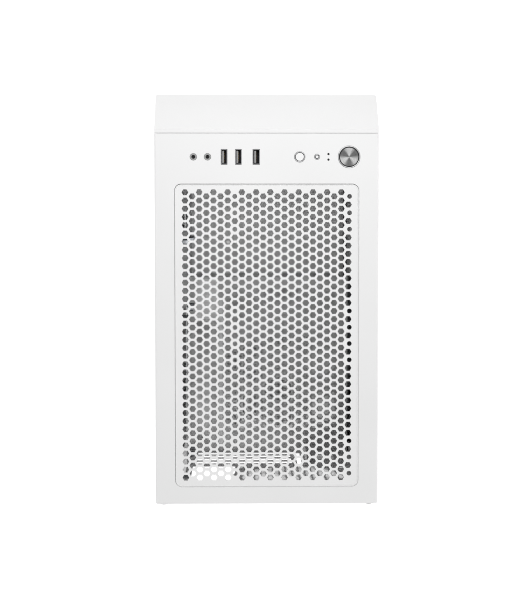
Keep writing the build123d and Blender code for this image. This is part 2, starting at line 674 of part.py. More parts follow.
def fan_rotor(z):
    """Hub with nine swept blades and a steel shaft."""
    y = (FRAME_Y + 1.5, FRAME_Y + 20.0)
    hub = fillet(bar(0, z, y, 19.5).edges().sort_by(Axis.Y)[0], 2.0)
    rotor = hub + bar(0, z, (y[1] - 1, FRAME_Y + FAN_DEPTH - 0.8), 1.5)
    middle = (y[0] + y[1]) / 2
    blades = []
    for i in range(9):
        root = Plane(origin=(17.0, middle, 0), x_dir=(0, 1, 0), z_dir=(1, 0, 0))
        tip = Plane(origin=(56.0, middle, 0), x_dir=(0, 1, 0), z_dir=(1, 0, 0))
        inner = root.location * Rot(0, 0, 42) * Rectangle(16.0, 1.6)
        outer = tip.location * Rot(0, 0, 62) * Rectangle(27.0, 1.4)
        blade = loft([inner.face(), outer.face()])
        blades.append(Pos(0, 0, z) * Rot(0, 40 * i, 0) * blade)
    rotor += [b & bar(0, z, (y[0] + 0.5, y[1]), 56.0) for b in blades]
    return rotor


def fan_screws():
    """Self-tapping fan screws: head in front of the front frame, shank in the fan frame."""
    shapes = []
    for z in FRONT_FAN_Z[1:]:
        for x, w in square(0, z, FAN_SPACING):
            shank = bar(x, w, (FRAME_Y - SHEET, FRAME_Y + 8), FAN_SCREW_R - 0.1)
            head = bar(x, w, (FRAME_Y - SHEET - 1.4, FRAME_Y - SHEET), 3.6)
            shapes.append(shank + head)
    return shapes


# ------------------------------------------------------------------ side panels
def glass_pane():
    pane = block((-HALF, -HALF + GLASS), PANEL_Y, PANEL_Z)
    pane = fillet(pane.edges().filter_by(Axis.X), 2.0)
    return chamfer(pane.faces().sort_by(Axis.X)[0].edges(), 0.5)


def rear_flange(side, inner_x):
    """Flange of a side panel behind the rear wall, with the holes for its two screws."""
    y = (REAR_FACE + 0.2, REAR_FACE + 0.2 + SHEET)
    flange = block(sorted((side * HALF, side * inner_x)), y, (PANEL_Z[0] + 14, PANEL_Z[1]))
    return flange - [bar(side * SCREW_X, z, (REAR_FACE - 1, REAR_FACE + 3), 1.9) for z in SCREW_Z]


def glass_carrier():
    """Steel frame bonded behind the glass, with its lips and rear flange."""
    skin_x = HALF - GLASS
    low, high = PANEL_Z
    window = rect((PANEL_Y[0] + 16, PANEL_Y[1] - 24), (low + 16, high - 16), 8.0)
    outline = rect((PANEL_Y[0] + 2, REAR_FACE + 0.2), (low + 2, high))
    frame = sheet(lengthwise(-skin_x), outline, [window])
    return frame + panel_lips(-1, skin_x - SHEET) + rear_flange(-1, RAIL_X - 4.0)


def steel_side():
    """Plain steel side panel with its lips, front hem and rear flange."""
    low, high = PANEL_Z
    skin = block((HALF - SHEET, HALF), (PANEL_Y[0], REAR_FACE + 0.2), PANEL_Z)
    hem = block((HALF - 5.0, HALF - SHEET), (PANEL_Y[0], PANEL_Y[0] + SHEET), (low + 12, high - 12))
    return skin + hem + panel_lips(1, HALF - SHEET) + rear_flange(1, RAIL_X - 4.0)


def thumbscrew(side, z):
    """Low thumbscrew that locks a side panel to the rear wall."""
    x = side * SCREW_X
    face = REAR_FACE + 0.2 + SHEET
    head = bar(x, z, (face, SCREW_END), SCREW_HEAD_R)
    head = chamfer(head.edges().filter_by(GeomType.CIRCLE).sort_by(Axis.Y)[-1], 0.4)
    shank = bar(x, z, (REAR_FACE - 3.0, face), SCREW_HOLE_R - 0.1)
    slot = block((x - 2.8, x + 2.8), (SCREW_END - 0.8, SCREW_END + 1), (z - 0.5, z + 0.5))
    return head - slot + shank


# ------------------------------------------------------------------ power supply filter
PULL_Z = (FOOT_HEIGHT - 4.7, FOOT_HEIGHT - 1.7)
TRAY_FILTER_X = (-62.4, 46.4)


def psu_filter_frame():
    """Sliding frame with a pull tab at the rear."""
    frame = block(TRAY_FILTER_X, (56.0, 182.0), PULL_Z)
    frame -= block((TRAY_FILTER_X[0] + 6, TRAY_FILTER_X[1] - 6), (62.0, 174.0), (0, FOOT_HEIGHT))
    tab = block((PSU_CENTRE_X - 18, PSU_CENTRE_X + 18), (182.0, 189.0), PULL_Z)
    return frame + fillet(tab.edges().filter_by(Axis.Z).sort_by(Axis.Y)[-2:], 2.0)


def psu_filter_mesh():
    z = (PULL_Z[0] + 1.2, PULL_Z[0] + 1.8)
    return block((TRAY_FILTER_X[0] + 6, TRAY_FILTER_X[1] - 6), (62.0, 174.0), z)


# ------------------------------------------------------------------ write every node
NODES = {
    "top_panel": top_panel,
    "top_edges": top_edges,
    "top_grille": top_grille,
    "rear_panel": rear_panel,
    "rear_fan_grille": rear_grille,
    "slot_flange": slot_flange,
    "motherboard_tray": motherboard_tray,
    "board_standoffs": standoffs,
    "bottom_panel": bottom_panel,
    "bottom_grille": bottom_grille,
    "psu_shroud": psu_shroud,
    "shroud_grille": shroud_grille,
    "front_frame": front_frame,
    "panel_rails": panel_rails,
    "chassis_rivets": rivets,
    "drive_plate_upper": lambda: drive_plate((150.0, 220.0)),
    "drive_plate_lower": lambda: drive_plate((40.0, 110.0)),
    "socket_housing": socket_housing,
    "socket_board": socket_board,
    "board_screws": board_screws,
    "microphone_jack": lambda: audio_jack(JACK_X[0]),
    "headphone_jack": lambda: audio_jack(JACK_X[1]),
    "power_ring": lambda: ring(POWER_X, POWER_RING, 8.0, 12.0),
    "light_ring": lambda: ring(LIGHT_X, LIGHT_RING, 4.8, 6.2),
    "reset_ring": lambda: ring(RESET_X, RESET_RING, 4.8, 3.6),
    "power_switch": lambda: switch(POWER_X, 12.0, 3.2),
    "light_switch": lambda: switch(LIGHT_X, 6.0, 1.7),
    "reset_switch": lambda: switch(RESET_X, 6.0, 1.7),
    "power_cap": power_cap,
    "power_plunger": power_plunger,
    "light_button": lambda: small_button(LIGHT_X, 3.85, 1.5),
    "reset_button": lambda: small_button(RESET_X, 1.35, 1.2),
    "light_pipes": light_pipes,
    "usb_tongues": lambda: [usb_tongue(i) for i in range(3)],
    "foot_pads": foot_pads,
    "front_shell": front_shell,
    "front_filter_frame": front_filter_frame,
    "front_filter_mesh": front_filter_mesh,
    "front_clips": front_clips,
    "fan_screws": fan_screws,
    "glass_pane": glass_pane,
    "glass_carrier": glass_carrier,
    "steel_side": steel_side,
    "psu_filter_frame": psu_filter_frame,
    "psu_filter_mesh": psu_filter_mesh,
}

for i in range(3):
    NODES[f"usb_shell_{i + 1}"] = lambda i=i: usb_shell(i)
for name, z in (("middle", FRONT_FAN_Z[1]), ("upper", FRONT_FAN_Z[2])):
    NODES[f"fan_frame_{name}"] = lambda z=z: fan_frame(z)
    NODES[f"fan_rotor_{name}"] = lambda z=z: fan_rotor(z)
for i, (x, y) in enumerate(FOOT_PLACES):
    NODES[f"foot_{i + 1}"] = lambda x=x, y=y: foot(x, y)
for label, side in (("glass", -1), ("steel", 1)):
    for level_name, z in (("lower", SCREW_Z[0]), ("upper", SCREW_Z[1])):
        NODES[f"{label}_thumbscrew_{level_name}"] = lambda side=side, z=z: thumbscrew(side, z)

for node, make in NODES.items():
    save(node, make())
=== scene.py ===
"""Finishes of a micro-ATX computer tower: materials for every sheet, cover and moulding of the frame, and
the fine pieces that are surfaces worked out here: field rim, dust nets, fan rotors and pads, knurled
thumbscrews, trim rings, turned button disc and socket contacts.  Metres; the front faces -Y, +Z is up."""
import json
import math

import bmesh
import bpy
import numpy as np
from mathutils import Matrix, Vector


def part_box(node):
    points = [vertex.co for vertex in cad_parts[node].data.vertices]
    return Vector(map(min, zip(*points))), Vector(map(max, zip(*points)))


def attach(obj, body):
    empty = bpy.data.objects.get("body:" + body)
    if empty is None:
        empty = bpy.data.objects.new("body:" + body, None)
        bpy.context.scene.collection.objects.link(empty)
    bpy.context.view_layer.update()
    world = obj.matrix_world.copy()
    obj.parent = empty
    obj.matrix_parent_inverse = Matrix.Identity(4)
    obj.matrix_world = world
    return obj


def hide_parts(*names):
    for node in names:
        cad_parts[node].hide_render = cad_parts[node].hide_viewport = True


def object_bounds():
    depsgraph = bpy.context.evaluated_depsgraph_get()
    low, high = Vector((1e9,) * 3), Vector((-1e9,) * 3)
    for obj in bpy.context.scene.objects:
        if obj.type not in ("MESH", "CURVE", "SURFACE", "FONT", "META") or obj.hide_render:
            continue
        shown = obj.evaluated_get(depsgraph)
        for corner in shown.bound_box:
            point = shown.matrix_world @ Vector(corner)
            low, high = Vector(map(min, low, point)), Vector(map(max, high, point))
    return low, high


bl_info = {
    "name": "Computer tower finishes",
    "version": (1, 0, 0),
    "blender": (4, 5, 0),
    "location": "View3D > Sidebar > Tower",
    "description": "Materials and fine pieces of a white micro-ATX computer tower",
    "category": "Object",
}

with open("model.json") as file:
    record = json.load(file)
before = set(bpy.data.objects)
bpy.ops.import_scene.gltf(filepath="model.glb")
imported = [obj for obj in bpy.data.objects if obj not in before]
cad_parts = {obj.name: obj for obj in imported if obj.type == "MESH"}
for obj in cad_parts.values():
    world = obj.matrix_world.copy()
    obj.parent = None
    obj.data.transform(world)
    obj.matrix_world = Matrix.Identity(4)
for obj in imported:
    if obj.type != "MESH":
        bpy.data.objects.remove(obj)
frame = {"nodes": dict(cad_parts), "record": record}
CAD_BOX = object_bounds()
MM = 0.001

FIELD_X = (-84.75 * MM, 84.75 * MM)      # sunk field of the top cover
FIELD_Y = (-107.5 * MM, 172.0 * MM)
FIELD_CORNER = 6.5 * MM
SCREEN_WINDOWS = ((30, 146), (151, 268), (273, 388))     # heights of the front screen's windows, in mm
FAN_HOLE = 52.5 * MM                     # from a fan's middle to its screw holes, along X and along Z
ROTOR_DEPTH = 18.5 * MM                  # a fan rotor along Y
FLANGE_REAR = 187.4 * MM                 # rear face of the side panels' flanges, under the screw heads
RINGS = {                                # each trim ring's outside, inside and bore radius, in mm
    "power_ring": (9.95, 9.35, 9.0),
    "light_ring": (4.8, 4.3, 3.9),
    "reset_ring": (2.4, 1.95, 1.6),
}
FLOOR_HALF = 15.0
PAPER_GLOW = 0.52                        # emission strength of the floor, clear of the tower
PAINTED_SHADOW_MARGIN = 0.028                      # painted contact shadow: the glow, a quarter under the tower, reaches that strength this far outside it
CAMERA_PLACE = (0.0275, -0.0757, 1.79)
CAMERA_LENS = 90.0
CAMERA_AXES = (                          # the camera's right, down and ahead
    (-0.999816, 0.000357, 0.019178),
    (0.001614, 0.998523, 0.054326),
    (-0.019118, 0.054343, -0.998339),
)


# ------------------------------------------------------------------ node and colour helpers
def linear(code):
    """Linear RGBA of an sRGB hex colour."""
    parts = [int(code[i:i + 2], 16) / 255 for i in (1, 3, 5)]
    return tuple(c / 12.92 if c <= 0.04045 else ((c + 0.055) / 1.055) ** 2.4 for c in parts) + (1.0,)


def add(tree, kind, props=None, **sockets):
    """Adds a node: props are its settings, sockets its inputs by name or by number as n0, n1."""
    made = tree.nodes.new(kind)
    for key, value in (props or {}).items():
        setattr(made, key, value)
    for key, value in sockets.items():
        index = int(key[1:]) if key[0] == "n" and key[1:].isdigit() else key.replace("_", " ")
        if isinstance(value, bpy.types.NodeSocket):
            tree.links.new(value, made.inputs[index])
        else:
            made.inputs[index].default_value = value
    return made


def new_material(name, **shader):
    """Empty material with one Principled shader; returns the material, its tree and the shader."""
    made = bpy.data.materials.new(name)
    made.use_nodes = True
    tree = made.node_tree
    tree.nodes.clear()
    principled = add(tree, "ShaderNodeBsdfPrincipled", **shader)
    add(tree, "ShaderNodeOutputMaterial", Surface=principled.outputs[0])
    return made, tree, principled


def axes(tree):
    """X, Y and Z of the place on the object, as three sockets."""
    place = add(tree, "ShaderNodeTexCoord").outputs["Object"]
    return add(tree, "ShaderNodeSeparateXYZ", Vector=place).outputs


def grain(tree, principled, size_mm, depth_mm):
    """Bump of a fine random grain, size_mm from bump to bump and depth_mm high.  Returns the place read."""
    place = add(tree, "ShaderNodeTexCoord").outputs["Object"]
    noise = add(tree, "ShaderNodeTexNoise", Vector=place, Scale=1000.0 / size_mm, Detail=2.0, Roughness=0.5)
    bump = add(tree, "ShaderNodeBump", Height=noise.outputs[0], Distance=depth_mm * MM, Strength=1.0)
    tree.links.new(bump.outputs[0], principled.inputs["Normal"])
    return place


def tint(tree, principled, share, low, high):
    """Base colour that goes from low to high, two hex colours, as the socket share goes from 0 to 1."""
    tone = add(tree, "ShaderNodeMix", {"data_type": "RGBA"}, n0=share, n6=linear(low), n7=linear(high))
    tree.links.new(tone.outputs[2], principled.inputs["Base Color"])


def drift(tree, principled, place, light, dark, size_mm):
    """Slow change of colour between two close tones, size_mm across."""
    noise = add(tree, "ShaderNodeTexNoise", Vector=place, Scale=1000.0 / size_mm, Detail=1.0)
    tint(tree, principled, noise.outputs[0], dark, light)


def two_tone(made, name, low, high, *steps):
    """Renames the material made and colours it low, turning to high where every step is passed.  A step is
    (axis, start, end): the places along that axis, in metres, between which it turns."""
    made.name = name
    tree = made.node_tree
    place = axes(tree)
    shares = [add(tree, "ShaderNodeMapRange", n0=place[axis], n1=start, n2=end).outputs[0]
              for axis, start, end in steps]
    share = shares[0]
    for other in shares[1:]:
        share = add(tree, "ShaderNodeMath", {"operation": "MULTIPLY"}, n0=share, n1=other).outputs[0]
    tint(tree, next(n for n in tree.nodes if n.type == "BSDF_PRINCIPLED"), share, low, high)
    return made


def coat(name, light, dark, roughness, size_mm, depth_mm):
    """Powder coat or moulded plastic: matt colour that drifts a little, over a fine grain."""
    made, tree, principled = new_material(name, Roughness=roughness)
    place = grain(tree, principled, size_mm, depth_mm)
    drift(tree, principled, place, light, dark, 60.0)
    return made


# ------------------------------------------------------------------ materials
def powder_coat():
    """White polyester powder coat on steel: satin, with a faint orange peel about 1 mm across."""
    return coat("powder_coat_white", "#F1F1F1", "#EDEDED", 0.42, 1.1, 0.012)


def shroud_painted_light():
    """Powder coat of the power supply cover with painted light: the sheet is painted light grey as shade, the
    pad and rib raised on it near white as lit.
    """
    # painted light: below about 117.2 mm up the sheet is painted grey as shade, above it the raised pad and
    # rib are painted near white as lit
    return two_tone(powder_coat(), "powder_coat_shroud_painted_light", "#CDCDCD", "#F4F4F4", (2, 0.1171, 0.1173))


def abs_white():
    """White ABS, spark-eroded mould texture: finer and duller than the coat on the steel."""
    return coat("moulded_abs_white", "#F1F1F1", "#EEEEEE", 0.5, 0.5, 0.01)


def abs_black():
    """Black ABS, fine mould texture."""
    return coat("moulded_abs_black", "#1B1B1C", "#151516", 0.48, 0.5, 0.012)


def black_coat():
    """Black powder coat on steel: satin with orange peel."""
    return coat("powder_coat_black", "#19191A", "#131314", 0.4, 1.1, 0.012)


def carrier_coat():
    """Black coat of the glass side's frame, bare and grey on the two lips that slide along the rails."""
    return two_tone(black_coat(), "powder_coat_carrier", "#161617", "#C4C4C4",
                    (0, -0.0974, -0.0970), (1, 0.175, 0.174))


def rubber():
    """Moulded rubber: dark, dull, slightly dusty."""
    return coat("moulded_rubber", "#2A2A2B", "#222223", 0.85, 0.8, 0.02)


def grey_moulding():
    """Grey moulded socket bodies, a little glossy."""
    return coat("moulded_grey", "#A3A3A3", "#989898", 0.3, 0.6, 0.004)


def painted_joint_shadow():
    """Grey strip painted as the shadow in the joint round the field, with painted shade by side: darkest along
    the front, darker towards +X, pale at the rear.
    """
    made, tree, principled = new_material("painted_joint_shadow", Roughness=0.7)
    place = axes(tree)
    tone = linear("#D6D6D6")
    # painted shade: the tone darkens across X towards +X, turns pale again at the rear and is darkest along
    # the front
    for axis, low, high, code in ((0, -0.084, 0.084, "#A2A2A2"), (1, 0.166, 0.1715, "#D6D6D6"),
                                  (1, -0.101, -0.107, "#4C4C4C")):
        share = add(tree, "ShaderNodeMapRange", n0=place[axis], n1=low, n2=high)
        tone = add(tree, "ShaderNodeMix", {"data_type": "RGBA"}, n0=share.outputs[0], n6=tone,
                   n7=linear(code)).outputs[2]
    tree.links.new(tone, principled.inputs["Base Color"])
    return made


def nylon():
    """Natural nylon: waxy off-white."""
    made, tree, principled = new_material("moulded_nylon", Roughness=0.42, Subsurface_Weight=0.1,
                                          Subsurface_Radius=(1.0, 1.0, 0.9), Subsurface_Scale=0.001)
    place = grain(tree, principled, 0.7, 0.008)
    drift(tree, principled, place, "#DEDDD6", "#D5D4CC", 20.0)
    return made


def button_white():
    """White polycarbonate button cap, lightly polished, a little clear."""
    made, tree, principled = new_material("polycarbonate_button", Roughness=0.28, IOR=1.58,
                                          Subsurface_Weight=0.15, Subsurface_Radius=(1.0, 1.0, 1.0),
                                          Subsurface_Scale=0.0008)
    place = grain(tree, principled, 0.6, 0.003)
    drift(tree, principled, place, "#F4F4F4", "#EFEFEF", 8.0)
    return made


def frosted_fan():
    """Milky polycarbonate of a lit fan's blades: half clear, soft gloss."""
    made, tree, principled = new_material("polycarbonate_frosted", Roughness=0.35, IOR=1.58,
                                          Transmission_Weight=0.25)
    place = grain(tree, principled, 0.6, 0.004)
    drift(tree, principled, place, "#DCDFE2", "#D3D6D9", 30.0)
    return made


def smoked_rod():
    """Smoked clear acrylic light rod, black when unlit."""
    made, tree, principled = new_material("acrylic_smoked", Roughness=0.12, IOR=1.49)
    place = grain(tree, principled, 0.4, 0.002)
    drift(tree, principled, place, "#121213", "#0C0C0D", 2.0)
    return made


def plated(name, light, dark):
    """Bright zinc or nickel plating on steel: metal with a faint rolled grain along Y."""
    made, tree, principled = new_material(name, Metallic=1.0)
    place = add(tree, "ShaderNodeTexCoord").outputs["Object"]
    stretch = add(tree, "ShaderNodeMapping", Vector=place, Scale=(2500.0, 120.0, 2500.0))
    lines = add(tree, "ShaderNodeTexNoise", Vector=stretch.outputs[0], Scale=1.0, Detail=2.0)
    rough = add(tree, "ShaderNodeMapRange", n0=lines.outputs[0], n3=0.22, n4=0.38)
    tree.links.new(rough.outputs[0], principled.inputs["Roughness"])
    drift(tree, principled, place, light, dark, 6.0)
    return made


def turned_metal(name, light, dark, centre, pitch_mm, rough_low, rough_high):
    """Metal turned on a lathe: rings of pitch_mm round the upright axis through centre, so it is brushed along
    the rings.
    Its colour holds a painted highlight: three bright fans that meet at the middle."""
    made, tree, principled = new_material(name, Metallic=1.0, Anisotropic=0.75)
    place = add(tree, "ShaderNodeTexCoord").outputs["Object"]
    local = add(tree, "ShaderNodeMapping", Vector=place, Location=tuple(-c for c in centre))
    split = add(tree, "ShaderNodeSeparateXYZ", Vector=local.outputs[0])
    flat = add(tree, "ShaderNodeCombineXYZ", X=split.outputs[0], Y=split.outputs[1])
    radius = add(tree, "ShaderNodeVectorMath", {"operation": "LENGTH"}, n0=flat.outputs[0])
    turns = add(tree, "ShaderNodeMath", {"operation": "MULTIPLY"}, n0=radius.outputs["Value"],
                n1=2 * math.pi * 1000.0 / pitch_mm)
    wave = add(tree, "ShaderNodeMath", {"operation": "SINE"}, n0=turns.outputs[0])
    rough = add(tree, "ShaderNodeMapRange", n0=wave.outputs[0], n1=-1.0, n2=1.0, n3=rough_low, n4=rough_high)
    tree.links.new(rough.outputs[0], principled.inputs["Roughness"])
    tangent = add(tree, "ShaderNodeTangent", {"direction_type": "RADIAL", "axis": "Z"})
    tree.links.new(tangent.outputs[0], principled.inputs["Tangent"])
    # painted highlight: three bright fans round the centre, set by the angle, painted into the base colour
    # from dark to light
    angle = add(tree, "ShaderNodeMath", {"operation": "ARCTAN2"}, n0=split.outputs[0], n1=split.outputs[1])
    fans = add(tree, "ShaderNodeMath", {"operation": "MULTIPLY"}, n0=angle.outputs[0], n1=3.0)
    shine = add(tree, "ShaderNodeMath", {"operation": "COSINE"}, n0=fans.outputs[0])
    share = add(tree, "ShaderNodeMapRange", {"interpolation_type": "SMOOTHSTEP"}, n0=shine.outputs[0],
                n1=0.9, n2=-1.0)
    tint(tree, principled, share.outputs[0], dark, light)
    return made


def chrome():
    """Bright chromium plate on a moulded ring: mirror-like with faint marks of polishing."""
    made, tree, principled = new_material("chromium_plate", Metallic=1.0, Base_Color=linear("#CFCFD0"))
    place = add(tree, "ShaderNodeTexCoord").outputs["Object"]
    marks = add(tree, "ShaderNodeTexNoise", Vector=place, Scale=1500.0, Detail=2.0)
    rough = add(tree, "ShaderNodeMapRange", n0=marks.outputs[0], n3=0.08, n4=0.2)
    tree.links.new(rough.outputs[0], principled.inputs["Roughness"])
    return made


def shell_metal():
    """Nickel of the socket shells: bright at the rim and dulled by the shade down inside."""
    made = new_material("nickel_shell", Metallic=1.0, Roughness=0.4)[0]
    return two_tone(made, "nickel_shell", "#2C2C2E", "#A2A2A4", (2, 0.4164, 0.4176))


def gold_contact():
    """Gold flash on phosphor-bronze contacts."""
    return plated("gold_flash", "#D9B56A", "#CBA557")


def solder_mask():
    """Green solder mask over copper tracks about 1 mm apart, which show as paler lines."""
    made, tree, principled = new_material("solder_mask_green", Roughness=0.35)
    place = add(tree, "ShaderNodeTexCoord").outputs["Object"]
    tracks = add(tree, "ShaderNodeTexBrick", {"offset": 0.37, "squash": 1.0}, Vector=place, Scale=1.0,
                 Color1=linear("#1E6B3C"), Color2=linear("#1A5F35"), Mortar=linear("#2C8750"),
                 Mortar_Size=0.0002, Brick_Width=0.0115, Row_Height=0.0013)
    tree.links.new(tracks.outputs[0], principled.inputs["Base Color"])
    return made


def toughened_glass():
    """Smoked float glass, 3 to 4 mm: polished, IOR 1.52, lets about a quarter of the light through."""
    made, tree, principled = new_material("toughened_glass_smoked", Roughness=0.02, IOR=1.52,
                                          Base_Color=linear("#4A4B4D"), Transmission_Weight=1.0)
    place = add(tree, "ShaderNodeTexCoord").outputs["Object"]
    ripple = add(tree, "ShaderNodeTexNoise", Vector=place, Scale=25.0, Detail=0.0)
    bump = add(tree, "ShaderNodeBump", Height=ripple.outputs[0], Distance=0.00002, Strength=0.3)
    tree.links.new(bump.outputs[0], principled.inputs["Normal"])
    return made


def net_thread():
    """Black nylon monofilament of the dust nets."""
    return coat("nylon_monofilament", "#202022", "#18181A", 0.5, 0.4, 0.004)


def make_materials():
    """Every finish by the record's slot name."""
    return {
        "white_steel": powder_coat(),
        "white_plastic": abs_white(),
        "foot_plastic": abs_white(),
        "black_plastic": abs_black(),
        "black_steel": black_coat(),
        "black_screw": black_coat(),
        "rubber": rubber(),
        "jack_plastic": grey_moulding(),
        "socket_tongue": grey_moulding(),
        "nylon": nylon(),
        "button_plastic": button_white(),
        "fan_plastic": frosted_fan(),
        "dark_clear_plastic": smoked_rod(),
        "plated_steel": plated("bright_zinc", "#8D8F92", "#7B7D80"),
        "chrome_ring": chrome(),
        # the two tones of the turned disc's painted highlight fans
        "turned_aluminium": turned_metal("turned_aluminium", "#A9A9A9", "#5E5E5E", middle("power_cap"),
                                         0.3, 0.24, 0.36),
        "nickel_shell": shell_metal(),
        "shroud_painted_light": shroud_painted_light(),
        "carrier_coat": carrier_coat(),
        "joint_shadow_strip": painted_joint_shadow(),
        "gold": gold_contact(),
        "circuit_board": solder_mask(),
        "tinted_glass": toughened_glass(),
        "filter_net": net_thread(),
    }


FINISH = {}
SPECIAL = {"usb_shell": "nickel_shell", "psu_shroud": "shroud_painted_light", "shroud_grille": "shroud_painted_light",
           "glass_carrier": "carrier_coat"}


# ------------------------------------------------------------------ surface helpers
def quads(rows, columns, wrap_rows, wrap_columns):
    """Faces of a grid of points; a wrapped direction joins its last line to its first."""
    i, j = np.meshgrid(np.arange(rows - (not wrap_rows)), np.arange(columns - (not wrap_columns)),
                       indexing="ij")
    down, along = (i + 1) % rows, (j + 1) % columns
    corners = [i * columns + j, i * columns + along, down * columns + along, down * columns + j]
    return np.stack(corners, -1).reshape(-1, 4)


def build(name, patches, slot, body, replaces=(), smooth=True):
    """One object from patches of (points on a grid, wrap rows, wrap columns), in metres.  Doubled points
    at seams and poles are merged and the faces turned outwards."""
    points, faces, first = [], [], 0
    for grid, wrap_rows, wrap_columns in patches:
        rows, columns = grid.shape[:2]
        points.append(grid.reshape(-1, 3))
        faces.append(quads(rows, columns, wrap_rows, wrap_columns) + first)
        first += rows * columns
    mesh = bpy.data.meshes.new(name)
    mesh.from_pydata(np.concatenate(points).tolist(), [], np.concatenate(faces).tolist())
    tidy = bmesh.new()
    tidy.from_mesh(mesh)
    bmesh.ops.remove_doubles(tidy, verts=tidy.verts, dist=1e-6)
    bmesh.ops.dissolve_degenerate(tidy, edges=tidy.edges, dist=1e-7)
    bmesh.ops.recalc_face_normals(tidy, faces=tidy.faces)
    tidy.to_mesh(mesh)
    tidy.free()
    if smooth:
        mesh.shade_smooth()
        mesh.set_sharp_from_angle(angle=math.radians(40))
    piece = bpy.data.objects.new(name, mesh)
    bpy.context.scene.collection.objects.link(piece)
    piece.data.materials.append(FINISH[slot])
    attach(piece, body)
    if replaces:
        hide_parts(*replaces)
    return piece


def middle(node):
    """Centre of a frame node's box, as an array."""
    low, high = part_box(node)
    return (np.array(low) + np.array(high)) / 2


def revolved(profile, centre, axis, segments, ripple=None):
    """Surface of revolution: the profile's point (r, h) goes to centre + r (cos t A + sin t B) + h AXIS,
    with A and B square to the axis.  ripple(t, r, h) may change r round the circle, as a knurl does."""
    profile = np.array(profile, float)
    axis = np.array(axis, float)
    a = np.cross(axis, (0.0, 0.0, 1.0)) if abs(axis[2]) < 0.5 else np.array((1.0, 0.0, 0.0))
    a /= np.linalg.norm(a)
    b = np.cross(axis, a)
    t = np.linspace(0, 2 * math.pi, segments, endpoint=False)[None, :, None]
    r, h = profile[:, 0][:, None, None], profile[:, 1][:, None, None]
    if ripple:
        r = ripple(t, r, h)
    return np.array(centre) + r * (np.cos(t) * a + np.sin(t) * b) + h * axis


def rounded(corners, radius, steps=4):
    """Profile through the corners (r, h), with each inner corner cut by a curve of about that radius."""
    corners = np.array(corners, float)
    out = [corners[0]]
    s = np.linspace(0, 1, steps + 1)[:, None]
    for before, here, after in zip(corners[:-2], corners[1:-1], corners[2:]):
        cut = [here + (p - here) * min(radius / np.linalg.norm(p - here), 0.5) for p in (before, after)]
        out.extend((1 - s) ** 2 * cut[0] + 2 * s * (1 - s) * here + s ** 2 * cut[1])
    out.append(corners[-1])
    return np.array(out)


def frame_path(x, y, radius, steps=10):
    """Closed path round a rectangle with round corners, and its outward normals."""
    t = np.linspace(0, math.pi / 2, steps)
    points, normals = [], []
    for k, (cx, cy) in enumerate(((x[1], y[1]), (x[0], y[1]), (x[0], y[0]), (x[1], y[0]))):
        normal = np.stack([np.cos(t + k * math.pi / 2), np.sin(t + k * math.pi / 2)], -1)
        inner = np.array((cx - radius if k in (0, 3) else cx + radius,
                          cy - radius if k < 2 else cy + radius))
        points.append(inner + radius * normal)
        normals.append(normal)
    return np.concatenate(points), np.concatenate(normals)


def bars(starts, ends, half_a, half_b, across):
    """Straight bars of rectangular section: each runs from its start to its end, half_a wide to either
    side along the direction across, and half_b to either side square to both.  Arrays of points (n, 3)."""
    along = (ends - starts) / np.linalg.norm(ends - starts, axis=1)[:, None]
    side = np.broadcast_to(np.array(across, float), along.shape)
    up = np.cross(along, side)
    section = ((-1, -1), (1, -1), (1, 1), (-1, 1))
    ring = [[p + i * half_a * side + j * half_b * up for i, j in section] for p in (starts, ends)]
    return np.array(ring).transpose(2, 0, 1, 3)


def closed_bars(boxes):
    """Patches for bars: the four sides, and a cap on each end."""
    patches = []
    for box in boxes:
        patches.append((box, False, True))
        patches.extend((end[[0, 1, 3, 2]].reshape(2, 2, 3), False, False) for end in box)
    return patches


# ------------------------------------------------------------------ settings
class TowerSizes(bpy.types.PropertyGroup):
    """Sizes that a user may change."""
    bead_height: bpy.props.FloatProperty(name="Bead height", description="Bead inside the sunk field's edge",
                                         default=0.3 * MM, unit="LENGTH")
    net_pitch: bpy.props.FloatProperty(name="Net pitch", description="Thread spacing of the dust nets",
                                       default=1.6 * MM, unit="LENGTH")
    thread: bpy.props.FloatProperty(name="Thread", description="Thickness of the net's thread",
                                    default=0.45 * MM, unit="LENGTH")
    blades: bpy.props.IntProperty(name="Blades", description="Blades on each fan rotor", default=9)
    knurls: bpy.props.IntProperty(name="Knurls", description="Ridges round each thumbscrew", default=24)


class TowerLight(bpy.types.PropertyGroup):
    """Brightness of the studio."""
    sky: bpy.props.FloatProperty(name="Sky", description="Strength of the even white surround", default=0.74)
    key: bpy.props.FloatProperty(name="Key", description="Power of the large overhead lamp",
                                 default=6.0, unit="POWER")
    front: bpy.props.FloatProperty(name="Front", description="Power of the lamp above the front edge",
                                   default=0.26, unit="POWER")
    side: bpy.props.FloatProperty(name="Side", description="Power of the lamp at the glass side",
                                  default=2.0, unit="POWER")
    inside: bpy.props.FloatProperty(name="Inside", description="Power of the fill in the front chamber",
                                    default=0.035, unit="POWER")


# ------------------------------------------------------------------ pieces
class TOWER_OT_finish_frame(bpy.types.Operator):
    """Gives every node of the frame its finish"""
    bl_idname = "tower.finish_frame"
    bl_label = "Finish the frame"

    def execute(self, context):
        FINISH.update(make_materials())
        for part in frame["record"]["subparts"]:
            node = frame["nodes"][part["node"]]
            finish = SPECIAL.get(part["node"].rstrip("_123"), part["material_slot"])
            for place in node.material_slots:
                place.material = FINISH[finish]
        return {"FINISHED"}


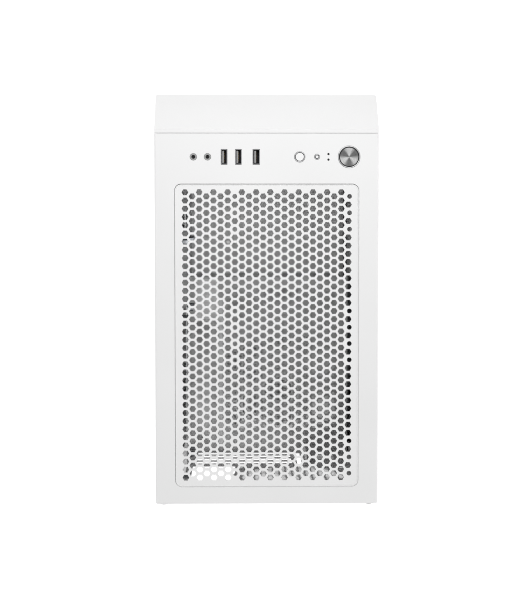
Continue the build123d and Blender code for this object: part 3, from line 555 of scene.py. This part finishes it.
class TOWER_OT_field_rim(bpy.types.Operator):
    """Edge of the sunk field: skin over the cover's edge, rounded step down, groove with a grey strip painted
    as its shadow, and a low bead
    """
    bl_idname = "tower.field_rim"
    bl_label = "Field rim"

    def execute(self, context):
        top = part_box("top_panel")[1][2]
        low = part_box("top_grille")[1][2]
        bead = context.scene.tower_sizes.bead_height
        path, normal = frame_path(FIELD_X, FIELD_Y, FIELD_CORNER)
        s = np.linspace(0, math.pi / 2, 6)
        turn = 0.3 * MM * np.stack([np.cos(s[::-1]) - 1, np.sin(s[::-1]) - 1], -1)
        step = turn + np.array((0, top - low - 0.05 * MM))
        t = np.linspace(0, math.pi, 11)
        crown = np.stack([-1.35 * MM + 0.55 * MM * np.cos(t), bead * np.sin(t)], -1)
        profile = np.concatenate([[(0.3 * MM, top - low + 0.02 * MM), (0, top - low + 0.02 * MM)], step[1:],
                                  [(-0.3 * MM, 0.02 * MM), (-0.75 * MM, 0.02 * MM)], crown,
                                  [(-1.9 * MM, -0.1 * MM), (0.3 * MM, -0.1 * MM)]])
        # grey strip in the groove, painted as the shadow of the step
        joint_shadow_strip = np.array([(-0.22, 0.0), (-0.22, 0.06), (-0.5, 0.09), (-0.78, 0.06), (-0.78, 0.0)]) * MM
        for name, section, slot in (("field_rim", profile, "white_steel"), ("field_joint_shadow", joint_shadow_strip, "joint_shadow_strip")):
            grid = np.zeros((len(section), len(path), 3))
            grid[:, :, :2] = path[None] + section[:, 0][:, None, None] * normal[None]
            grid[:, :, 2] = low + section[:, 1][:, None]
            build(name, [(grid, True, True)], slot, "chassis")
        return {"FINISHED"}


def net(name, node, span_axes, windows, body):
    """Dust net: threads both ways at one pitch, each a bar; one set lies half a thread above the other."""
    sizes = bpy.context.scene.tower_sizes
    i, j, k = span_axes
    centre = middle(node)
    boxes = []
    for low, high in windows:
        for run, cross, lift in ((i, j, -0.5), (j, i, 0.5)):
            places = np.arange(low[cross] + sizes.net_pitch / 2, high[cross], sizes.net_pitch)
            start = np.tile(centre, (len(places), 1))
            start[:, cross] = places
            start[:, k] += lift * sizes.thread * 0.5
            end = start.copy()
            start[:, run], end[:, run] = low[run], high[run]
            across = np.eye(3)[cross]
            boxes.append(bars(start, end, sizes.thread / 2, sizes.thread / 4, across))
    return build(name, closed_bars(np.concatenate(boxes)), "filter_net", body, [node], smooth=False)


class TOWER_OT_dust_nets(bpy.types.Operator):
    """Nets of the front cover's screen and of the power supply filter"""
    bl_idname = "tower.dust_nets"
    bl_label = "Dust nets"

    def execute(self, context):
        low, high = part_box("front_filter_mesh")
        windows = [((low[0], low[1], a * MM), (high[0], high[1], b * MM)) for a, b in SCREEN_WINDOWS]
        net("front_net", "front_filter_mesh", (0, 2, 1), windows, "front_cover")
        net("psu_net", "psu_filter_mesh", (0, 1, 2), [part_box("psu_filter_mesh")], "psu_filter")
        return {"FINISHED"}


def rotor_patches(centre, front, rear, count):
    """Hub as a surface of revolution with a rounded nose, and blades: each is a closed section whose chord
    grows and whose pitch flattens from root to tip, carried outwards along a swept line."""
    depth = rear - front
    hub = rounded([(0, 0), (19.5 * MM, 0), (19.5 * MM, depth), (17.5 * MM, depth), (17.5 * MM, 3 * MM),
                   (1.5 * MM, 3 * MM), (1.5 * MM, depth + 4 * MM), (0, depth + 4 * MM)], 1.5 * MM)
    patches = [(revolved(hub, (centre[0], front, centre[2]), (0, 1, 0), 72), False, True)]
    u = np.linspace(0, 1, 14)[:, None]
    s = np.linspace(0, 2 * math.pi, 24, endpoint=False)[None, :]
    chord = (8.0 + 5.0 * u) * MM
    pitch = np.radians(48 - 20 * u)
    camber = 0.16 * (1 - np.cos(s) ** 2) * chord
    x = np.cos(s) * chord
    y = np.sin(s) * (0.85 - 0.2 * u) * MM + camber
    around = x * np.cos(pitch) - y * np.sin(pitch)
    axial = x * np.sin(pitch) + y * np.cos(pitch)
    radius = (19.0 + 36.8 * u) * MM + 0 * s
    sweep = 0.35 * u ** 1.6
    middle_y = (front + rear) / 2
    for k in range(count):
        angle = 2 * math.pi * k / count + sweep + around / radius
        grid = np.stack([centre[0] + radius * np.cos(angle),
                         np.clip(middle_y + axial, front + 0.4 * MM, rear - 0.2 * MM),
                         centre[2] + radius * np.sin(angle)], -1)
        tip = np.repeat(grid[-1].mean(0)[None, None], grid.shape[1], axis=1)
        patches.append((np.concatenate([grid, tip]), False, True))
    return patches


class TOWER_OT_fan_rotors(bpy.types.Operator):
    """Rotors of the two front fans, with swept blades"""
    bl_idname = "tower.fan_rotors"
    bl_label = "Fan rotors"

    def execute(self, context):
        for place in ("middle", "upper"):
            node = f"fan_rotor_{place}"
            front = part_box(node)[0][1]
            patches = rotor_patches(middle(node), front, front + ROTOR_DEPTH, context.scene.tower_sizes.blades)
            build(f"rotor_{place}", patches, "fan_plastic", f"rotor_{place}", [node])
        return {"FINISHED"}


class TOWER_OT_fan_pads(bpy.types.Operator):
    """Rubber pads on the rear of both fans: a ring round each screw hole"""
    bl_idname = "tower.fan_pads"
    bl_label = "Fan pads"

    def execute(self, context):
        section = rounded([(2.8 * MM, 0), (2.8 * MM, 1.2 * MM), (6.2 * MM, 1.2 * MM), (6.2 * MM, 0),
                           (2.8 * MM, 0)], 0.3 * MM)
        for place in ("middle", "upper"):
            low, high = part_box(f"fan_frame_{place}")
            centre = (low + high) / 2
            patches = []
            for i in (-1, 1):
                for j in (-1, 1):
                    at = (centre[0] + i * FAN_HOLE, high[1], centre[2] + j * FAN_HOLE)
                    patches.append((revolved(section, at, (0, 1, 0), 40), False, True))
            build(f"fan_pads_{place}", patches, "rubber", "chassis")
        return {"FINISHED"}


class TOWER_OT_thumbscrews(bpy.types.Operator):
    """Knurled heads of the four side panel screws"""
    bl_idname = "tower.thumbscrews"
    bl_label = "Thumbscrews"

    def execute(self, context):
        knurls = context.scene.tower_sizes.knurls
        for side in ("glass", "steel"):
            for place in ("lower", "upper"):
                node = f"{side}_thumbscrew_{place}"
                low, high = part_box(node)
                radius = (high[0] - low[0]) / 2
                at = np.array(((low[0] + high[0]) / 2, high[1], (low[2] + high[2]) / 2))
                depth = high[1] - FLANGE_REAR
                length = high[1] - low[1]
                profile = rounded([(0, -0.9 * MM), (1.3 * MM, -0.9 * MM), (1.6 * MM, 0), (radius, 0),
                                   (radius, -depth), (1.65 * MM, -depth), (1.65 * MM, -length), (0, -length)],
                                  0.3 * MM)

                def knurl(t, r, h):
                    ridge = 0.5 - 0.5 * np.cos(knurls * t)
                    return r - np.where(r > radius * 0.9, 0.28 * MM * ridge, 0)

                build(f"knurled_{node}", [(revolved(profile, at, (0, 1, 0), knurls * 8, knurl), False, True)],
                      "black_screw", f"{side}_screw_{place}", [node])
        return {"FINISHED"}


def trim(node, outer, inner, bore):
    """Trim ring: revolved section with a low domed crown and a skirt down to the bottom of the ring, on a thin
    dark ring painted as its contact shadow, and lined inwards to the bore with a dark ring painted as the
    shade in the gap."""
    low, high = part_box(node)
    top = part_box("top_panel")[1][2]
    at = (*middle(node)[:2], 0)
    t = np.linspace(0, math.pi, 13)
    crown = np.stack([(outer + inner) / 2 + (outer - inner) / 2 * np.cos(t),
                      high[2] - 0.1 * MM + 0.1 * MM * np.sin(t)], -1)
    crown = np.concatenate([[(outer, low[2])], crown, [(inner, low[2]), (outer, low[2])]])
    # painted contact shadow: thin dark rubber ring round the foot of the trim ring
    lip = np.stack([outer + 0.13 * MM + 0.14 * MM * np.cos(t), top + 0.08 * MM * np.sin(t)], -1)
    lip = np.concatenate([lip, [(outer, top - 0.6 * MM), (outer + 0.05 * MM, top - 0.6 * MM), lip[0]]])
    # painted shade: dark flat ring from the trim ring's inside to the bore, standing for the shade in the gap
    # to the button
    painted_gap_shade = np.array([(inner - 0.01 * MM, top - 0.1 * MM), (bore, top - 0.1 * MM), (bore, low[2]),
                       (inner - 0.01 * MM, low[2]), (inner - 0.01 * MM, top - 0.1 * MM)])
    for name, profile, slot, replaces in (("crown", crown, "chrome_ring", [node]),
                                          ("painted_contact_shadow", lip, "rubber", []), ("painted_gap_shade", painted_gap_shade, "rubber", [])):
        patch = (revolved(profile, at, (0, 0, 1), 128), False, True)
        build(f"{node}_{name}", [patch], slot, "chassis", replaces)


class TOWER_OT_trim_rings(bpy.types.Operator):
    """Bright rings round the three buttons, each between a thin dark ring painted as contact shadow and a dark
    ring painted as the shade in the gap
    """
    bl_idname = "tower.trim_rings"
    bl_label = "Trim rings"

    def execute(self, context):
        for node, radii in RINGS.items():
            trim(node, *(radius * MM for radius in radii))
        return {"FINISHED"}


class TOWER_OT_power_disc(bpy.types.Operator):
    """Turned disc of the power button, with its lathe rings as real grooves, and a dark rubber edge painted as
    the shade in the gap round it
    """
    bl_idname = "tower.power_disc"
    bl_label = "Power disc"

    def execute(self, context):
        low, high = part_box("power_cap")
        centre = middle("power_cap")
        radius = (high[0] - low[0]) / 2
        r = np.linspace(0, radius - 0.6 * MM, 113)
        face = np.stack([r, high[2] - 0.012 * MM * (1 - np.cos(2 * math.pi * r / (0.3 * MM)))], -1)
        face = np.concatenate([face, [(r[-1], low[2]), (0, low[2])]])
        # painted shade: dark rubber chamfer round the disc, standing for the shade in the gap to the ring
        edge = np.array([(r[-1], high[2] - 0.05 * MM), (radius, high[2] - 0.4 * MM), (radius, low[2]),
                         (r[-1], low[2]), (r[-1], high[2] - 0.05 * MM)])
        at = (centre[0], centre[1], 0)
        for name, profile, slot, replaces in (("power_disc", face, "turned_aluminium", ["power_cap"]),
                                              ("power_disc_shade_edge", edge, "rubber", [])):
            patch = (revolved(profile, at, (0, 0, 1), 160), False, True)
            build(name, [patch], slot, "power_button", replaces)
        return {"FINISHED"}


class TOWER_OT_socket_contacts(bpy.types.Operator):
    """Four gold contacts on each oblong socket's tongue"""
    bl_idname = "tower.socket_contacts"
    bl_label = "Socket contacts"

    def execute(self, context):
        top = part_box("usb_tongues")[1][2]
        boxes = []
        for i in (1, 2, 3):
            centre = middle(f"usb_shell_{i}")
            x = centre[0] + 0.04 * MM
            y = centre[1] + np.array((-3.5, -1.0, 1.0, 3.5)) * MM
            start = np.stack([np.full(4, x), y, np.full(4, top - 10.0 * MM)], -1)
            end = start + np.array((0, 0, 7.5 * MM))
            boxes.append(bars(start, end, 0.45 * MM, 0.1 * MM, (0, 1, 0)))
        build("socket_contacts", closed_bars(np.concatenate(boxes)), "gold", "chassis", smooth=False)
        return {"FINISHED"}


# ------------------------------------------------------------------ studio
def lamp(name, size, power, place, aim, seen=True, spread=180):
    """Area lamp of that (width, depth) at place, shining towards aim over that spread in degrees."""
    data = bpy.data.lights.new(name, "AREA")
    data.shape = "RECTANGLE"
    data.size, data.size_y = size
    data.energy = power
    data.spread = math.radians(spread)
    made = bpy.data.objects.new(name, data)
    made.location = place
    made.rotation_euler = (Vector(aim) - Vector(place)).to_track_quat("-Z", "Y").to_euler()
    made.visible_camera = seen
    bpy.context.scene.collection.objects.link(made)


def paper():
    """Backdrop paper that glows evenly, with a painted contact shadow: only a quarter as much glow where the
    tower stands on it.
    """
    made, tree, principled = new_material("studio_paper", Base_Color=linear("#F5F5F5"), Roughness=0.9,
                                          Emission_Color=(1, 1, 1, 1))
    place = add(tree, "ShaderNodeTexCoord").outputs["Object"]
    size = add(tree, "ShaderNodeVectorMath", {"operation": "ABSOLUTE"}, n0=place)
    past = add(tree, "ShaderNodeVectorMath", {"operation": "SUBTRACT"}, n0=size.outputs[0],
               n1=(CAD_BOX[1][0], CAD_BOX[1][1], 0))
    split = add(tree, "ShaderNodeSeparateXYZ", Vector=past.outputs[0])
    gap = add(tree, "ShaderNodeMath", {"operation": "MAXIMUM"}, n0=split.outputs[0], n1=split.outputs[1])
    # painted contact shadow: emission cut to a quarter inside the tower's footprint, rising to full strength a
    # short way outside it
    glow = add(tree, "ShaderNodeMapRange", {"interpolation_type": "SMOOTHSTEP"}, n0=gap.outputs[0], n1=0.0,
               n2=PAINTED_SHADOW_MARGIN, n3=0.25 * PAPER_GLOW, n4=PAPER_GLOW)
    tree.links.new(glow.outputs[0], principled.inputs["Emission Strength"])
    return made


class TOWER_OT_stage(bpy.types.Operator):
    """White floor, even surround, soft lamps and the camera above the tower"""
    bl_idname = "tower.stage"
    bl_label = "Stage"

    def execute(self, context):
        scene = context.scene
        light = scene.tower_light
        world = bpy.data.worlds.new("studio")
        world.use_nodes = True
        world.node_tree.nodes["Background"].inputs[0].default_value = (1, 1, 1, 1)
        world.node_tree.nodes["Background"].inputs[1].default_value = light.sky
        scene.world = world
        scene.view_settings.view_transform = "Standard"
        scene.cycles.filter_width = 1.0
        mesh = bpy.data.meshes.new("studio_floor")
        corners = [(i * FLOOR_HALF, j * FLOOR_HALF, 0) for i, j in ((-1, -1), (1, -1), (1, 1), (-1, 1))]
        mesh.from_pydata(corners, [], [(0, 1, 2, 3)])
        mesh.materials.append(paper())
        floor = bpy.data.objects.new("studio_floor", mesh)
        scene.collection.objects.link(floor)
        lamp("key", (1.6, 1.6), light.key, (-0.5, -0.9, 2.6), (0, 0, 0.4))
        lamp("front", (0.3, 0.08), light.front, (0, -0.25, 0.75), (0, -0.15, 0.4), False)
        lamp("glass_side", (1.0, 1.0), light.side, (-1.0, 0.6, 0.8), (0, 0, 0.3))
        lamp("inside", (0.15, 0.07), light.inside, (0, -0.065, 0.4), (0, -0.065, 0), False, 80)
        lamp("behind_tray", (0.008, 0.24), light.inside * 0.25, (0.089, 0.03, 0.4), (0.089, 0.03, 0),
             False, 60)
        right, down, ahead = (Vector(v) for v in CAMERA_AXES)
        data = bpy.data.cameras.new("camera")
        data.lens = CAMERA_LENS
        data.clip_end = 20.0
        camera = bpy.data.objects.new("camera", data)
        turn = Matrix((right, -down, -ahead)).transposed().to_4x4()
        camera.matrix_world = Matrix.Translation(CAMERA_PLACE) @ turn
        scene.collection.objects.link(camera)
        scene.camera = camera
        return {"FINISHED"}


OPERATORS = (
    TOWER_OT_finish_frame, TOWER_OT_field_rim, TOWER_OT_dust_nets, TOWER_OT_fan_rotors, TOWER_OT_fan_pads,
    TOWER_OT_thumbscrews, TOWER_OT_trim_rings, TOWER_OT_power_disc, TOWER_OT_socket_contacts, TOWER_OT_stage,
)


class TOWER_PT_panel(bpy.types.Panel):
    """Lists the settings and the pieces"""
    bl_idname = "TOWER_PT_panel"
    bl_label = "Computer tower"
    bl_space_type = "VIEW_3D"
    bl_region_type = "UI"
    bl_category = "Tower"

    def draw(self, context):
        for group in (context.scene.tower_sizes, context.scene.tower_light):
            for key in group.__annotations__:
                self.layout.prop(group, key)
        for operator in OPERATORS:
            self.layout.operator(operator.bl_idname)


CLASSES = (TowerSizes, TowerLight) + OPERATORS + (TOWER_PT_panel,)


def register():
    for cls in CLASSES:
        bpy.utils.register_class(cls)
    bpy.types.Scene.tower_sizes = bpy.props.PointerProperty(type=TowerSizes)
    bpy.types.Scene.tower_light = bpy.props.PointerProperty(type=TowerLight)


def unregister():
    del bpy.types.Scene.tower_light
    del bpy.types.Scene.tower_sizes
    for cls in reversed(CLASSES):
        bpy.utils.unregister_class(cls)


def main():
    register()
    for operator in OPERATORS:
        group, name = operator.bl_idname.split(".")
        getattr(getattr(bpy.ops, group), name)()


if __name__ == "__main__":
    main()
